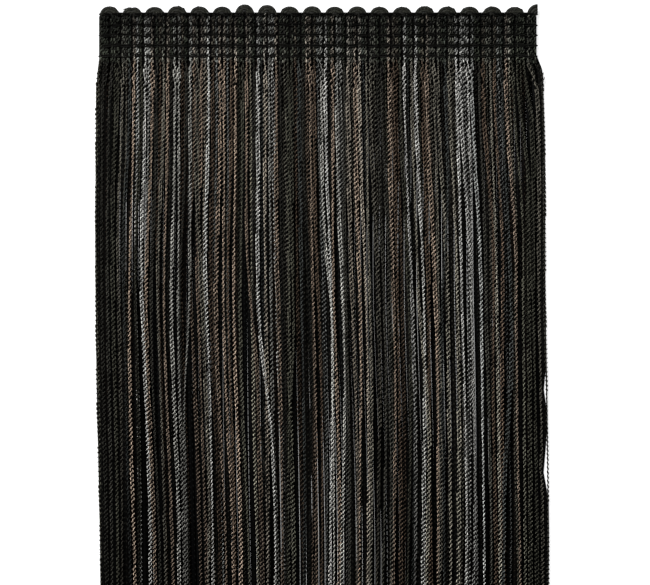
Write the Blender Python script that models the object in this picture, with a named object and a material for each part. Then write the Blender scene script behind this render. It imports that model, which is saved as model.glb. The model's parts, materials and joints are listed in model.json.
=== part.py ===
"""Chainette fringe: a crocheted heading with a skirt of hanging yarns.

The piece lies face up on a flat surface. X runs along the heading, Y points from the cut
ends of the yarns to the looped edge, and Z points up out of the face. The origin is the
middle of the piece's footprint, on the surface it lies on. Sizes are in metres.
"""

import math
import random

import bmesh
import bpy
from mathutils import Vector

MM = 0.001

# The whole piece, from the cut ends to the highest loop
OVERALL_LENGTH = 152.4 * MM

# Heading: bundles of yarn laid up and down, held by rows of warp stitches
BUNDLES = 39
BUNDLE_PITCH = 2.81 * MM
HEADING_WIDTH = BUNDLES * BUNDLE_PITCH
STITCH_ROWS = 4
STITCH_ROW_PITCH = 2.58 * MM
HEM_BELOW_LAST_ROW = 0.55 * MM
HEADING_THICKNESS = 2.6 * MM
GROOVE_DEPTH = 0.75 * MM
STITCH_TROUGH_DEPTH = 0.9 * MM
HEADING_SIDE_DROP = 0.8 * MM

# Loops along the top edge: each joins two bundles, and the last one is cut in half
VALLEY_ABOVE_FIRST_ROW = 0.4 * MM
LOOP_HEIGHT = 1.5 * MM
LOOP_CROWN_DROP = 0.25 * MM
CUT_LOOP_HEIGHT = 2.1 * MM
CUT_LOOP_LEAN = 0.25 * MM

# Skirt: two layers of yarn, each hanging from a narrow strip below the heading
YARNS_PER_LAYER = {"fringe_back": 58, "fringe_front": 59}
YARN_THICKNESS = 1.1 * MM
YARN_FLAT_WIDTH = 1.5 * MM
YARN_EDGE_WIDTH = 1.15 * MM
YARN_TOP_SHARE = 0.72
LAYER_GAP = 0.3 * MM
STRIP_GAP = 0.3 * MM
STRIP_HEIGHT = 1.1 * MM
CUT_UNEVENNESS = 0.9 * MM
SWAY = 0.55 * MM
TURNS_PER_YARN = 1.6
SLIT_WIDTH = 0.45 * MM
SLIT_MIDDLE = 92.0 * MM
SLIT_LENGTH = 36.0 * MM
SEED = 11

# The skirt's two sides, read down from the heading's lower edge. Columns: depth, then
# the left and the right side as distances from the heading's middle, all in mm.
SKIRT_SIDES = (
    (0.0, -54.7, 55.1),
    (3.0, -55.1, 56.0),
    (12.0, -55.5, 56.3),
    (24.0, -55.5, 56.8),
    (40.0, -55.7, 56.8),
    (60.0, -55.5, 56.8),
    (80.0, -55.2, 57.3),
    (100.0, -54.8, 57.6),
    (120.0, -54.5, 57.8),
    (140.0, -54.4, 57.6),
)

# Where each yarn has a section, as shares of its length below the strip
YARN_STATIONS = (0.03, 0.10, 0.22, 0.36, 0.52, 0.68, 0.84, 1.0)

# Across one bundle of the heading. Columns: place as a share of the bundle's width,
# height as a share of its crown.
BUNDLE_PROFILE = ((0.0, 0.0), (0.22, 0.82), (0.5, 1.0), (0.78, 0.82))
# Down one pad between two stitch rows. Columns: place as a share of the row pitch,
# height as a share of the pad's.
PAD_PROFILE = ((0.0, 0.0), (0.24, 0.9), (0.5, 1.0), (0.76, 0.9))
# From a loop's tip down to the first stitch row. Columns: share of the way up to the
# tip, height as a share of the loop's crown.
LOOP_PROFILE = ((1.0, 0.25), (0.82, 0.78), (0.45, 1.0))
# Round a loop's outline, from its middle to the valley beside it. Columns: place as a
# share of half the loop pitch, height as a share of the loop's.
LOOP_OUTLINE = ((0.0, 1.0), (0.36, 0.95), (0.66, 0.70), (0.80, 0.18), (1.0, 0.0))

HEM_CROWN_SHARE = 0.35
POINTS_PER_BUNDLE = len(BUNDLE_PROFILE)
POINTS_PER_LOOP = 2 * POINTS_PER_BUNDLE
WHOLE_LOOPS = BUNDLES // 2
HEADING_BODY = STITCH_ROWS * STITCH_ROW_PITCH + HEM_BELOW_LAST_ROW
HEADING_HEIGHT = HEADING_BODY + VALLEY_ABOVE_FIRST_ROW + CUT_LOOP_HEIGHT
SKIRT_LENGTH = OVERALL_LENGTH - HEADING_HEIGHT
STRIP_FOOT = STRIP_GAP + STRIP_HEIGHT

HEADING_COLOUR = (0.018, 0.019, 0.017, 1.0)
YARN_COLOURS = {
    "fringe_back": (0.022, 0.020, 0.018, 1.0),
    "fringe_front": (0.075, 0.070, 0.063, 1.0),
}
CLOTH_ROUGHNESS = 0.75


def clear_scene():
    """Remove whatever the scene holds."""
    for thing in list(bpy.data.objects):
        bpy.data.objects.remove(thing, do_unlink=True)


def cloth_material(name, colour):
    """A matt cloth material of one colour."""
    material = bpy.data.materials.new(name)
    material.use_nodes = True
    shader = material.node_tree.nodes["Principled BSDF"]
    shader.inputs["Base Color"].default_value = colour
    shader.inputs["Roughness"].default_value = CLOTH_ROUGHNESS
    shader.inputs["Metallic"].default_value = 0.0
    return material


def object_from(name, builder, colour):
    """Turn a bmesh into an object with its own material and its faces pointing out."""
    bmesh.ops.recalc_face_normals(builder, faces=builder.faces)
    mesh = bpy.data.meshes.new(name)
    builder.to_mesh(mesh)
    builder.free()
    mesh.materials.append(cloth_material(name, colour))
    thing = bpy.data.objects.new(name, mesh)
    bpy.context.collection.objects.link(thing)
    return thing


def smooth_step(share):
    """Ease from 0 to 1 with level ends."""
    share = min(max(share, 0.0), 1.0)
    return share * share * (3.0 - 2.0 * share)


# Heading


def loop_height(loop):
    """Each whole loop stands a little taller or lower than its neighbours."""
    if loop >= WHOLE_LOOPS:
        return CUT_LOOP_HEIGHT
    uneven = 0.10 * math.sin(2.3 * loop + 0.7) + 0.06 * math.sin(5.1 * loop)
    return LOOP_HEIGHT * (1.0 + uneven)


def heading_column(index):
    """Place across, crown share, place across at the loop's tip, and tip height."""
    bundle, within = divmod(index, POINTS_PER_BUNDLE)
    place, crown = BUNDLE_PROFILE[within]
    across = (bundle + place) * BUNDLE_PITCH - HEADING_WIDTH / 2
    loop, around = divmod(index, POINTS_PER_LOOP)
    from_middle = around - POINTS_PER_BUNDLE
    shift, rise = LOOP_OUTLINE[abs(from_middle)]
    loop_middle = (2 * loop + 1) * BUNDLE_PITCH - HEADING_WIDTH / 2
    tip_across = loop_middle + math.copysign(shift, from_middle) * BUNDLE_PITCH
    if loop >= WHOLE_LOOPS:
        tip_across += CUT_LOOP_LEAN * rise
    return across, crown, tip_across, loop_height(loop) * rise


def loop_row(columns, share, height_share):
    """A row of points through the loops, a share of the way up to their tips."""
    crown = HEADING_THICKNESS - LOOP_CROWN_DROP
    top = crown - GROOVE_DEPTH * (1.0 - height_share)
    row = []
    for across, _, tip_across, tip_height in columns:
        x = across + (tip_across - across) * share
        y = HEADING_BODY + (VALLEY_ABOVE_FIRST_ROW + tip_height) * share
        row.append((x, y, top))
    return row


def pad_row(columns, down, height_share):
    """A row of points across the bundles, a distance below the first stitch row."""
    trough = STITCH_TROUGH_DEPTH * (1.0 - height_share)
    row = []
    for across, crown, _, _ in columns:
        top = HEADING_THICKNESS - trough - GROOVE_DEPTH * (1.0 - crown)
        row.append((across, HEADING_BODY - down, top))
    return row


def heading_rows(columns):
    """All rows of points on the heading's face, from the loops' tips down to the hem."""
    rows = [loop_row(columns, share, height) for share, height in LOOP_PROFILE]
    for stitch_row in range(STITCH_ROWS):
        for place, height in PAD_PROFILE:
            down = (stitch_row + place) * STITCH_ROW_PITCH
            rows.append(pad_row(columns, down, height))
    rows.append(pad_row(columns, STITCH_ROWS * STITCH_ROW_PITCH, 0.0))
    rows.append(pad_row(columns, HEADING_BODY, HEM_CROWN_SHARE))
    return rows


def build_heading():
    """The heading: one solid, flat underneath, its bundles and stitch rows raised."""
    builder = bmesh.new()
    side_top = HEADING_THICKNESS - HEADING_SIDE_DROP
    last = BUNDLES * POINTS_PER_BUNDLE
    columns = [heading_column(index) for index in range(last + 1)]
    face = []
    for row in heading_rows(columns):
        line = [builder.verts.new(point) for point in row]
        for side in (line[0], line[-1]):
            side.co.z = min(side.co.z, side_top)
        face.append(line)
    for upper, lower in zip(face, face[1:]):
        for index in range(last):
            corners = (upper[index], lower[index], lower[index + 1], upper[index + 1])
            builder.faces.new(corners)
    rim = [edge for edge in builder.edges if edge.is_boundary]
    walls = bmesh.ops.extrude_edge_only(builder, edges=rim)["geom"]
    for item in walls:
        if isinstance(item, bmesh.types.BMVert):
            item.co.z = 0.0
    base = [edge for edge in builder.edges if edge.is_boundary]
    bmesh.ops.contextual_create(builder, geom=base)
    return object_from("header", builder, HEADING_COLOUR)


# Skirt


def skirt_side(depth, column):
    """The skirt's left (1) or right (2) side at a depth below the heading."""
    depth_mm = depth / MM
    for upper, lower in zip(SKIRT_SIDES, SKIRT_SIDES[1:]):
        if depth_mm <= lower[0]:
            share = (depth_mm - upper[0]) / (lower[0] - upper[0])
            return (upper[column] + (lower[column] - upper[column]) * share) * MM
    return SKIRT_SIDES[-1][column] * MM


def sway(share, depth, phase):
    """A smooth sideways drift shared by neighbouring yarns, zero at the root."""
    down = depth / SKIRT_LENGTH
    slow = math.sin(5.3 * share + 4.1 * down + phase)
    quick = 0.45 * math.sin(11.0 * share - 7.3 * down + 2.1 * phase)
    return SWAY * smooth_step(3.0 * down) * (slow + quick) / 1.45


def yarn_middle(index, count, depth, phase):
    """Where a yarn's middle lies across the skirt at a depth below the heading."""
    share = index / (count - 1)
    left = skirt_side(depth, 1) + YARN_FLAT_WIDTH / 2
    right = skirt_side(depth, 2) - YARN_FLAT_WIDTH / 2
    if index < count - 1:
        # The outermost yarn on the right stands off from the rest for a stretch
        from_slit = abs(depth - SLIT_MIDDLE) / (SLIT_LENGTH / 2)
        right -= SLIT_WIDTH * smooth_step(1.5 - from_slit)
    calm_at_sides = smooth_step(8.0 * min(share, 1.0 - share))
    return left + (right - left) * share + calm_at_sides * sway(share, depth, phase)


def yarn_section(across, depth, width, bottom):
    """Four corners of a yarn: left low, right low, right high, left high."""
    low = width / 2
    high = low * YARN_TOP_SHARE
    top = bottom + YARN_THICKNESS
    return (
        (across - low, -depth, bottom),
        (across + low, -depth, bottom),
        (across + high, -depth, top),
        (across - high, -depth, top),
    )


def build_strip(builder, middles, bottom):
    """The strip that holds one layer, open below where each yarn grows out of it.

    Returns for each yarn the four corners of its root, in the order of yarn_section.
    """
    half_root = YARN_EDGE_WIDTH / 2
    top = bottom + YARN_THICKNESS
    stations = []
    for middle in middles:
        for across in (middle - half_root, middle + half_root):
            corners = (
                (across, -STRIP_GAP, bottom),
                (across, -STRIP_GAP, top),
                (across, -STRIP_FOOT, top),
                (across, -STRIP_FOOT, bottom),
            )
            stations.append([builder.verts.new(corner) for corner in corners])
    for number, (left, right) in enumerate(zip(stations, stations[1:])):
        sides = [(0, 1), (1, 2), (3, 0)]
        between_yarns = number % 2 == 1
        if between_yarns:
            sides.append((2, 3))
        for first, second in sides:
            builder.faces.new((left[first], right[first], right[second], left[second]))
    builder.faces.new(stations[0])
    builder.faces.new(stations[-1])
    return [
        [left[3], right[3], right[2], left[2]]
        for left, right in zip(stations[::2], stations[1::2])
    ]


def build_skirt(name, bottom, phase, chance):
    """One layer: a narrow strip with its yarns hanging from the lower side."""
    builder = bmesh.new()
    count = YARNS_PER_LAYER[name]
    middles = [yarn_middle(index, count, 0.0, phase) for index in range(count)]
    roots = build_strip(builder, middles, bottom)
    for index, ring in enumerate(roots):
        turn_at_root = chance.uniform(0.0, 2.0 * math.pi)
        length = SKIRT_LENGTH - STRIP_FOOT - chance.uniform(0.0, CUT_UNEVENNESS)
        for share in YARN_STATIONS:
            depth = STRIP_FOOT + share * length
            across = yarn_middle(index, count, depth, phase)
            turn = turn_at_root + 2.0 * math.pi * TURNS_PER_YARN * share
            flatness = 0.5 + 0.5 * math.cos(turn)
            width = YARN_EDGE_WIDTH + (YARN_FLAT_WIDTH - YARN_EDGE_WIDTH) * flatness
            section = yarn_section(across, depth, width, bottom)
            lower = [builder.verts.new(corner) for corner in section]
            for side in range(4):
                after = (side + 1) % 4
                builder.faces.new((ring[side], ring[after], lower[after], lower[side]))
            ring = lower
        builder.faces.new(ring)
    return object_from(name, builder, YARN_COLOURS[name])


def centre_footprint(things):
    """Move every mesh so that the whole piece's footprint is centred on the origin."""
    points = [vert.co for thing in things for vert in thing.data.vertices]
    middle_x = (min(p.x for p in points) + max(p.x for p in points)) / 2
    middle_y = (min(p.y for p in points) + max(p.y for p in points)) / 2
    shift = Vector((-middle_x, -middle_y, 0.0))
    for thing in things:
        for vert in thing.data.vertices:
            vert.co += shift
        thing.data.update()


def main():
    """Build the heading and both layers of the skirt."""
    clear_scene()
    chance = random.Random(SEED)
    heading = build_heading()
    back = build_skirt("fringe_back", 0.0, 0.4, chance)
    front_level = YARN_THICKNESS + LAYER_GAP
    front = build_skirt("fringe_front", front_level, 2.6, chance)
    centre_footprint((heading, back, front))


main()
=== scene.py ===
# %% [markdown]
# # Chainette fringe
# A chainette fringe is a narrow crocheted heading with a skirt of hanging yarns. Every yarn is a
# chainette: a hose of a few knitted wales, so thin that it reads as a small braid. This script
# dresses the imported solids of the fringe. The solids give the size and the place; the script adds
# the knitted stitches, the dye colours, the floor, the light and the camera.

# %% Load the frame
import math
import random

import bmesh
import bpy
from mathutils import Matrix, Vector
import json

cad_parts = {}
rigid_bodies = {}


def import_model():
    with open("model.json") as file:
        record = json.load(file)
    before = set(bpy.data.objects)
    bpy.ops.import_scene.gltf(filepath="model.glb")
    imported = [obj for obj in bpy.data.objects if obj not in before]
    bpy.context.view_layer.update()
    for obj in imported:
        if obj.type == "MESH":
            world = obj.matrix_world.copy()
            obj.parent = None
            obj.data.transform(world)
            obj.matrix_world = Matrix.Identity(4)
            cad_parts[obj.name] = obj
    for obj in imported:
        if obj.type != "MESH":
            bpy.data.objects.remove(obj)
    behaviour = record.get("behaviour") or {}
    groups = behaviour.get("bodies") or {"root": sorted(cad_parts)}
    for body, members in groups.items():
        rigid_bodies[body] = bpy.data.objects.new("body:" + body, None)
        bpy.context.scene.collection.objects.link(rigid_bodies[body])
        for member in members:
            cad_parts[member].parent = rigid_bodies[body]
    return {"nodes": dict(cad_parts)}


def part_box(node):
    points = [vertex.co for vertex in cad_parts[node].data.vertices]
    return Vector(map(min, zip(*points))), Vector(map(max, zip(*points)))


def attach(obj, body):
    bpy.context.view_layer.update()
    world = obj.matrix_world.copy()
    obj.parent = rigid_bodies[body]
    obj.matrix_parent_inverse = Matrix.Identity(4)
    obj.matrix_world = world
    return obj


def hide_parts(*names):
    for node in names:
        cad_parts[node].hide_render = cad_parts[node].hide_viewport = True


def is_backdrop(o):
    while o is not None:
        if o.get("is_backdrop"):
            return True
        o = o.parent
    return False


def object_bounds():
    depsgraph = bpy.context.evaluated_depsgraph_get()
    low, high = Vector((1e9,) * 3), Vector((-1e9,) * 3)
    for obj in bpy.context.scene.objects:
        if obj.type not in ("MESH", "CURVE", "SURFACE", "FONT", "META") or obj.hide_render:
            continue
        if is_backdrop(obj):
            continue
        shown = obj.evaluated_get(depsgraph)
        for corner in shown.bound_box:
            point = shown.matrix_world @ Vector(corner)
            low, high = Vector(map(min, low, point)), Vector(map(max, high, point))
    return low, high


for leftover in list(bpy.data.objects):
    bpy.data.objects.remove(leftover)
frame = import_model()
cad_low, cad_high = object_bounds()
MM = 0.001
print("solids:", sorted(frame["nodes"]), "box in mm:", [round(side / MM, 1) for side in cad_high - cad_low])

# %% [markdown]
# ## What the fringe is made of, in numbers
# A trimming maker counts in bundles and rows. Here 39 bundles of three yarns run up and down, and
# five rows of black chain stitch lock them. The heading's place is read from the solid that it
# replaces, so it isn't placed by eye.

# %% Sizes of the heading and the skirt
header_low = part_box("header")[0]

BUNDLES = 39
YARNS_PER_BUNDLE = 3
ALL_YARNS = BUNDLES * YARNS_PER_BUNDLE
BUNDLE_PITCH = 2.81 * MM
YARN_PITCH = BUNDLE_PITCH / YARNS_PER_BUNDLE
HEADING_BODY = 10.87 * MM
SKIRT_LENGTH = 139.03 * MM
STRIP_GAP = 0.3 * MM
STITCH_PITCH = 1.09 * MM

heading_left = header_low.x
heading_right = heading_left + BUNDLES * BUNDLE_PITCH
heading_middle = heading_left + BUNDLES * BUNDLE_PITCH / 2
heading_foot = header_low.y
print("heading from", round(heading_left / MM, 2), "mm, foot at", round(heading_foot / MM, 2), "mm")

# %% [markdown]
# ## Node trees without the mouse
# The stitches are made by Geometry Nodes. A tree that is written in a script needs a few small
# helpers: some that put a node and link it, some for sums, and some that carry attributes along.

# %% Helpers for node trees
def put(tree, kind, inputs=None, **settings):
    """Adds a node, sets it, and links or fills its inputs. Keys of inputs are names or numbers."""
    made = tree.nodes.new(kind)
    for name, value in settings.items():
        setattr(made, name, value)
    for place, value in (inputs or {}).items():
        socket = made.inputs[place]
        if isinstance(value, bpy.types.NodeSocket):
            tree.links.new(value, socket)
        else:
            socket.default_value = value
    return made


def first(tree, kind, inputs=None, **settings):
    """Adds a node and hands on its first output."""
    return put(tree, kind, inputs, **settings).outputs[0]


def number(tree, operation, *values):
    """One step of arithmetic on numbers, as a socket."""
    return first(tree, "ShaderNodeMath", dict(enumerate(values)), operation=operation)


def vector(tree, operation, *values):
    """One step of arithmetic on vectors, as a socket."""
    return first(tree, "ShaderNodeVectorMath", dict(enumerate(values)), operation=operation)


def scaled(tree, direction, factor):
    """A vector times a number, as a socket."""
    return first(tree, "ShaderNodeVectorMath", {0: direction, "Scale": factor}, operation="SCALE")


def combined(tree, x, y, z=0.0):
    """Three numbers as one vector."""
    return first(tree, "ShaderNodeCombineXYZ", {"X": x, "Y": y, "Z": z})


def parted(tree, direction):
    """The three numbers of a vector, by the names X, Y and Z."""
    return put(tree, "ShaderNodeSeparateXYZ", {0: direction}).outputs


# %% Helpers for attributes and trees
def attribute(tree, name, data_type="FLOAT"):
    """Reads an attribute that the path, the points or the mesh carry."""
    return first(tree, "GeometryNodeInputNamedAttribute", {"Name": name}, data_type=data_type)


def store(tree, geometry, name, value, data_type="FLOAT", domain="POINT"):
    """Writes an attribute and hands the geometry on."""
    inputs = {"Geometry": geometry, "Name": name, "Value": value}
    return first(tree, "GeometryNodeStoreNamedAttribute", inputs, data_type=data_type, domain=domain)


def store_uv(tree, geometry, across, up):
    """Writes each corner's place in the piece's own UV map."""
    return store(tree, geometry, "OFBake", combined(tree, across, up), "FLOAT2", "CORNER")


def store_yarn_uv(tree, geometry, strip, up):
    """Writes the UV map of a yarn. Each yarn has a column of the map, and strip is a place in it."""
    across = number(tree, "MULTIPLY_ADD", strip, attribute(tree, "column_width"), attribute(tree, "column"))
    return store_uv(tree, geometry, across, up)


def shade_tint(tree, geometry, shade):
    """Makes the tint that the geometry carries lighter or darker."""
    tint = scaled(tree, attribute(tree, "tint", "FLOAT_COLOR"), shade)
    return store(tree, geometry, "tint", tint, "FLOAT_COLOR")


def new_tree(name, inputs):
    """An empty tree with a geometry input and output, and the named inputs."""
    tree = bpy.data.node_groups.new(name, "GeometryNodeTree")
    tree.interface.new_socket("Geometry", in_out="INPUT", socket_type="NodeSocketGeometry")
    for label, kind in inputs:
        tree.interface.new_socket(label, in_out="INPUT", socket_type="NodeSocket" + kind)
    tree.interface.new_socket("Geometry", in_out="OUTPUT", socket_type="NodeSocketGeometry")
    return tree, put(tree, "NodeGroupInput").outputs


# %% [markdown]
# ## One stitch leg
# A knitted stitch shows two legs, each a short piece of yarn that thickens in the middle and dives
# under the next stitch at its ends. The leg could be a bent curve with a bevel, but it is repeated
# tens of thousands of times, so it is a spindle of sixteen triangles: two points and two rings of
# four. The yarns that lie underneath get a spindle with one ring, of eight. Light hardly reaches the
# sides and the ends between the stitches, so each corner carries how much light it gets, as an
# attribute, and the tree darkens the leg's tint by it: painted shade.

# %% Helpers for meshes and objects
def add_object(name, data):
    """Puts new data into the scene as an object at the origin."""
    made = bpy.data.objects.new(name, data)
    bpy.context.scene.collection.objects.link(made)
    return made


def finished_mesh(name, shape):
    """Turns a drawn shape into a mesh with smooth faces."""
    mesh = bpy.data.meshes.new(name)
    for face in shape.faces:
        face.smooth = True
    shape.normal_update()
    shape.to_mesh(mesh)
    shape.free()
    return mesh


def fill(mesh, name, values, data_type="FLOAT"):
    """Writes one value, or one colour of four parts, for each point of a mesh."""
    layer = mesh.attributes.new(name, data_type, "POINT")
    layer.data.foreach_set("value" if data_type == "FLOAT" else "color", values)


# %% Model the stitch legs
LEG_DIP = 0.5
LEG_CORNERS = ((0.5, 0.0), (0.0, 0.5), (-0.5, 0.0), (0.0, -0.5))
CORNER_LIGHT_SHARES = (1.05, 0.33, 0.12, 0.33)
END_LIGHT_SHARE = 0.05
RING_HEIGHT = 0.24
UV_MARGIN = 0.01


def stitch_leg(name, ring_heights):
    """A spindle along Z, one unit long and wide, with its back to -X and its own UV map."""
    shape = bmesh.new()
    uv = shape.loops.layers.uv.new("OFBake")
    foot = shape.verts.new((-LEG_DIP, 0.0, -0.5))
    rings = [[shape.verts.new((x, y, height)) for x, y in LEG_CORNERS] for height in ring_heights]
    tip = shape.verts.new((-LEG_DIP, 0.0, 0.5))
    low = ring_heights[0] + 0.5
    high = ring_heights[-1] + 0.5

    def face(points, places):
        for loop, place in zip(shape.faces.new(points).loops, places):
            loop[uv].uv = place

    for side in range(4):
        after = (side + 1) % 4
        left = side / 4 + UV_MARGIN
        right = (side + 1) / 4 - UV_MARGIN
        middle = (left + right) / 2
        face((foot, rings[0][after], rings[0][side]), ((middle, 2 * UV_MARGIN), (right, low), (left, low)))
        for under, over in zip(rings, rings[1:]):
            places = ((left, low), (right, low), (right, high), (left, high))
            face((under[side], under[after], over[after], over[side]), places)
        places = ((middle, 1 - 2 * UV_MARGIN), (left, high), (right, high))
        face((tip, rings[-1][side], rings[-1][after]), places)
    mesh = finished_mesh(name, shape)
    fill(mesh, "open", [END_LIGHT_SHARE, *CORNER_LIGHT_SHARES * len(rings), END_LIGHT_SHARE])
    return add_object(name, mesh)


full_leg = stitch_leg("full_leg", (-RING_HEIGHT, RING_HEIGHT))
plain_leg = stitch_leg("plain_leg", (0.0,))
print("faces of the legs:", len(full_leg.data.polygons), len(plain_leg.data.polygons))

# %% [markdown]
# ## The chainette tree
# The tree turns a bare path into knitted yarn. It walks along the path in steps of one stitch, puts
# six legs round an oval at each step, and leans every second leg over and sinks it a little, which
# gives the small slanted holes between two rails that a chainette shows. Copying a modelled stitch
# with an Array modifier would work for one yarn, but not for a hundred paths that all sway and turn
# in their own way.

# %% Walk along the paths
chainette, given = new_tree("chainette_yarn", [
    ("Stitch Pitch", "Float"), ("Half Width", "Float"), ("Half Thickness", "Float"),
    ("Leg Width", "Float"), ("Leg Depth", "Float"), ("Rail Length", "Float"), ("Cross Length", "Float"),
    ("Hidden Below", "Float"), ("Shade Spread", "Float"), ("Core Shade", "Float"), ("Core Size", "Float"),
    ("Seed", "Int"), ("Leg", "Object"), ("Yarn", "Material")])


def walk_in_stitches(tree):
    """Points along every path, one for each stitch, and the direction of the yarn there."""
    paths = first(tree, "GeometryNodeMeshToCurve", {"Mesh": given["Geometry"]})
    step = number(tree, "MULTIPLY", given["Stitch Pitch"], attribute(tree, "stretch"))
    stitched = first(tree, "GeometryNodeResampleCurve", {"Curve": paths, "Length": step}, mode="LENGTH")
    count = put(tree, "GeometryNodeSplineLength").outputs["Point Count"]
    place = put(tree, "GeometryNodeSplineParameter").outputs["Index"]
    stitched = store(tree, stitched, "row", number(tree, "DIVIDE", place, count))
    stitched = store(tree, stitched, "row_height", number(tree, "DIVIDE", 1.0, count))
    walked = put(tree, "GeometryNodeCurveToPoints", {"Curve": stitched}, mode="EVALUATED")
    return paths, walked.outputs["Points"], walked.outputs["Tangent"]


def section_frame(tree, along):
    """The two axes of the yarn's oval section, turned by the roll that the path carries."""
    sideways = vector(tree, "NORMALIZE", vector(tree, "CROSS_PRODUCT", along, (0.0, 0.0, 1.0)))
    upward = vector(tree, "CROSS_PRODUCT", sideways, along)
    roll = attribute(tree, "roll")
    cosine = number(tree, "COSINE", roll)
    sine = number(tree, "SINE", roll)
    wide = vector(tree, "ADD", scaled(tree, sideways, cosine), scaled(tree, upward, sine))
    thick = vector(tree, "SUBTRACT", scaled(tree, upward, cosine), scaled(tree, sideways, sine))
    return wide, thick


# %% [markdown]
# ## Where a leg goes
# Each leg needs a place on the oval, a turn and a size. The turn has two axes: the leg runs along
# its own leaning direction, and its open side looks outward from the yarn.

# %% Place, turn and size of a leg
LEGS_ROUND = 6
RAIL_LEAN = math.radians(-7)
CROSS_LEAN = math.radians(40)
CROSS_SINK = 0.1


def ring_place(tree, along, which, crossing):
    """A leg's place on the yarn's oval, seen from the yarn's middle, and the outward direction."""
    wide, thick = section_frame(tree, along)
    turn = number(tree, "MULTIPLY", which, math.tau / LEGS_ROUND)
    angle = number(tree, "ADD", attribute(tree, "spiral"), turn)
    cosine = number(tree, "COSINE", angle)
    sine = number(tree, "SINE", angle)
    sunk = number(tree, "MULTIPLY_ADD", crossing, -CROSS_SINK, 1.0)
    size = number(tree, "MULTIPLY", attribute(tree, "size"), sunk)
    half_width = number(tree, "MULTIPLY", given["Half Width"], size)
    half_thickness = number(tree, "MULTIPLY", given["Half Thickness"], size)

    def on_oval(operation):
        return vector(tree, "ADD",
                      scaled(tree, wide, number(tree, operation, cosine, half_width)),
                      scaled(tree, thick, number(tree, operation, sine, half_thickness)))

    return on_oval("MULTIPLY"), vector(tree, "NORMALIZE", on_oval("DIVIDE"))


def leg_turn(tree, along, outward, crossing):
    """How a leg is turned: a rail runs nearly along the yarn, and a crossing leg leans over."""
    around = vector(tree, "CROSS_PRODUCT", along, outward)
    lean = number(tree, "MULTIPLY_ADD", crossing, CROSS_LEAN - RAIL_LEAN, RAIL_LEAN)
    direction = vector(tree, "ADD",
                       scaled(tree, along, number(tree, "COSINE", lean)),
                       scaled(tree, around, number(tree, "SINE", lean)))
    return first(tree, "FunctionNodeAxesToRotation",
                 {"Primary Axis": direction, "Secondary Axis": outward},
                 primary_axis="Z", secondary_axis="X")


def leg_scale(tree, crossing):
    """A leg's depth, width and length."""
    change = number(tree, "SUBTRACT", given["Cross Length"], given["Rail Length"])
    length = number(tree, "MULTIPLY_ADD", crossing, change, given["Rail Length"])
    whole = combined(tree, given["Leg Depth"], given["Leg Width"], length)
    return scaled(tree, whole, attribute(tree, "leg_size"))


# %% Copy the legs to the stitches
CROSS_STAGGER = 0.5
MIDDLE_STAGGER = 2 / 3
LEG_SHARE = 0.74


def place_legs(tree, points, along):
    """Six legs round the section at each stitch, as a realized mesh with its own UV map."""
    copies = put(tree, "GeometryNodeDuplicateElements",
                 {"Geometry": points, "Amount": LEGS_ROUND}, domain="POINT")
    which = copies.outputs["Duplicate Index"]
    crossing = number(tree, "MODULO", which, 2.0)
    offset, outward = ring_place(tree, along, which, crossing)
    stagger = number(tree, "MULTIPLY_ADD", crossing, CROSS_STAGGER, -MIDDLE_STAGGER)
    steps_on = number(tree, "MULTIPLY_ADD", which, 1.0 / LEGS_ROUND, stagger)
    forward = scaled(tree, along, number(tree, "MULTIPLY", steps_on, given["Stitch Pitch"]))
    lowest = number(tree, "MAXIMUM", given["Hidden Below"], attribute(tree, "hidden_below"))
    seen = first(tree, "FunctionNodeCompare", {0: parted(tree, outward)["Z"], 1: lowest},
                 data_type="FLOAT", operation="GREATER_THAN")
    chance = put(tree, "FunctionNodeRandomValue", {2: -1.0, 3: 1.0, "Seed": given["Seed"]},
                 data_type="FLOAT").outputs[1]
    shade = number(tree, "MULTIPLY_ADD", chance, given["Shade Spread"], 1.0)
    legs = shade_tint(tree, copies.outputs["Geometry"], shade)
    legs = store(tree, legs, "leg", which)
    legs = first(tree, "GeometryNodeSetPosition",
                 {"Geometry": legs, "Offset": vector(tree, "ADD", offset, forward)})
    shape = put(tree, "GeometryNodeObjectInfo", {"Object": given["Leg"]}).outputs["Geometry"]
    copied = first(tree, "GeometryNodeInstanceOnPoints",
                   {"Points": legs, "Selection": seen, "Instance": shape,
                    "Rotation": leg_turn(tree, along, outward, crossing),
                    "Scale": leg_scale(tree, crossing)})
    real = first(tree, "GeometryNodeRealizeInstances", {"Geometry": copied})
    # Painted shade: the leg's tint is darkened by how much light each corner gets.
    real = shade_tint(tree, real, attribute(tree, "open"))
    own = parted(tree, attribute(tree, "OFBake", "FLOAT_VECTOR"))
    strip = number(tree, "DIVIDE", number(tree, "ADD", attribute(tree, "leg"), own["X"]), LEGS_ROUND)
    strip = number(tree, "MULTIPLY", strip, LEG_SHARE)
    up = number(tree, "MULTIPLY_ADD", own["Y"], attribute(tree, "row_height"), attribute(tree, "row"))
    return store_yarn_uv(tree, real, strip, up)


# %% [markdown]
# ## The dark core
# The stitches leave small holes, and inside a real yarn they show nothing but shadow. A dark oval
# tube along the path closes them. Where the knit is pulled tight, in the heading's loops, the same
# tube is the visible cord: there the path gives it light, which falls off towards its sides.

# %% Sweep the core
CORE_SIDES = 8
CORE_UV_GAP = 0.02
UNDERSIDE = -0.2
UNDERSIDE_LIGHT = 0.5
LEAST_FACING = 0.1
LIGHT_FALLOFF = 2.2
MERGE_DISTANCE = 0.000001


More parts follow.
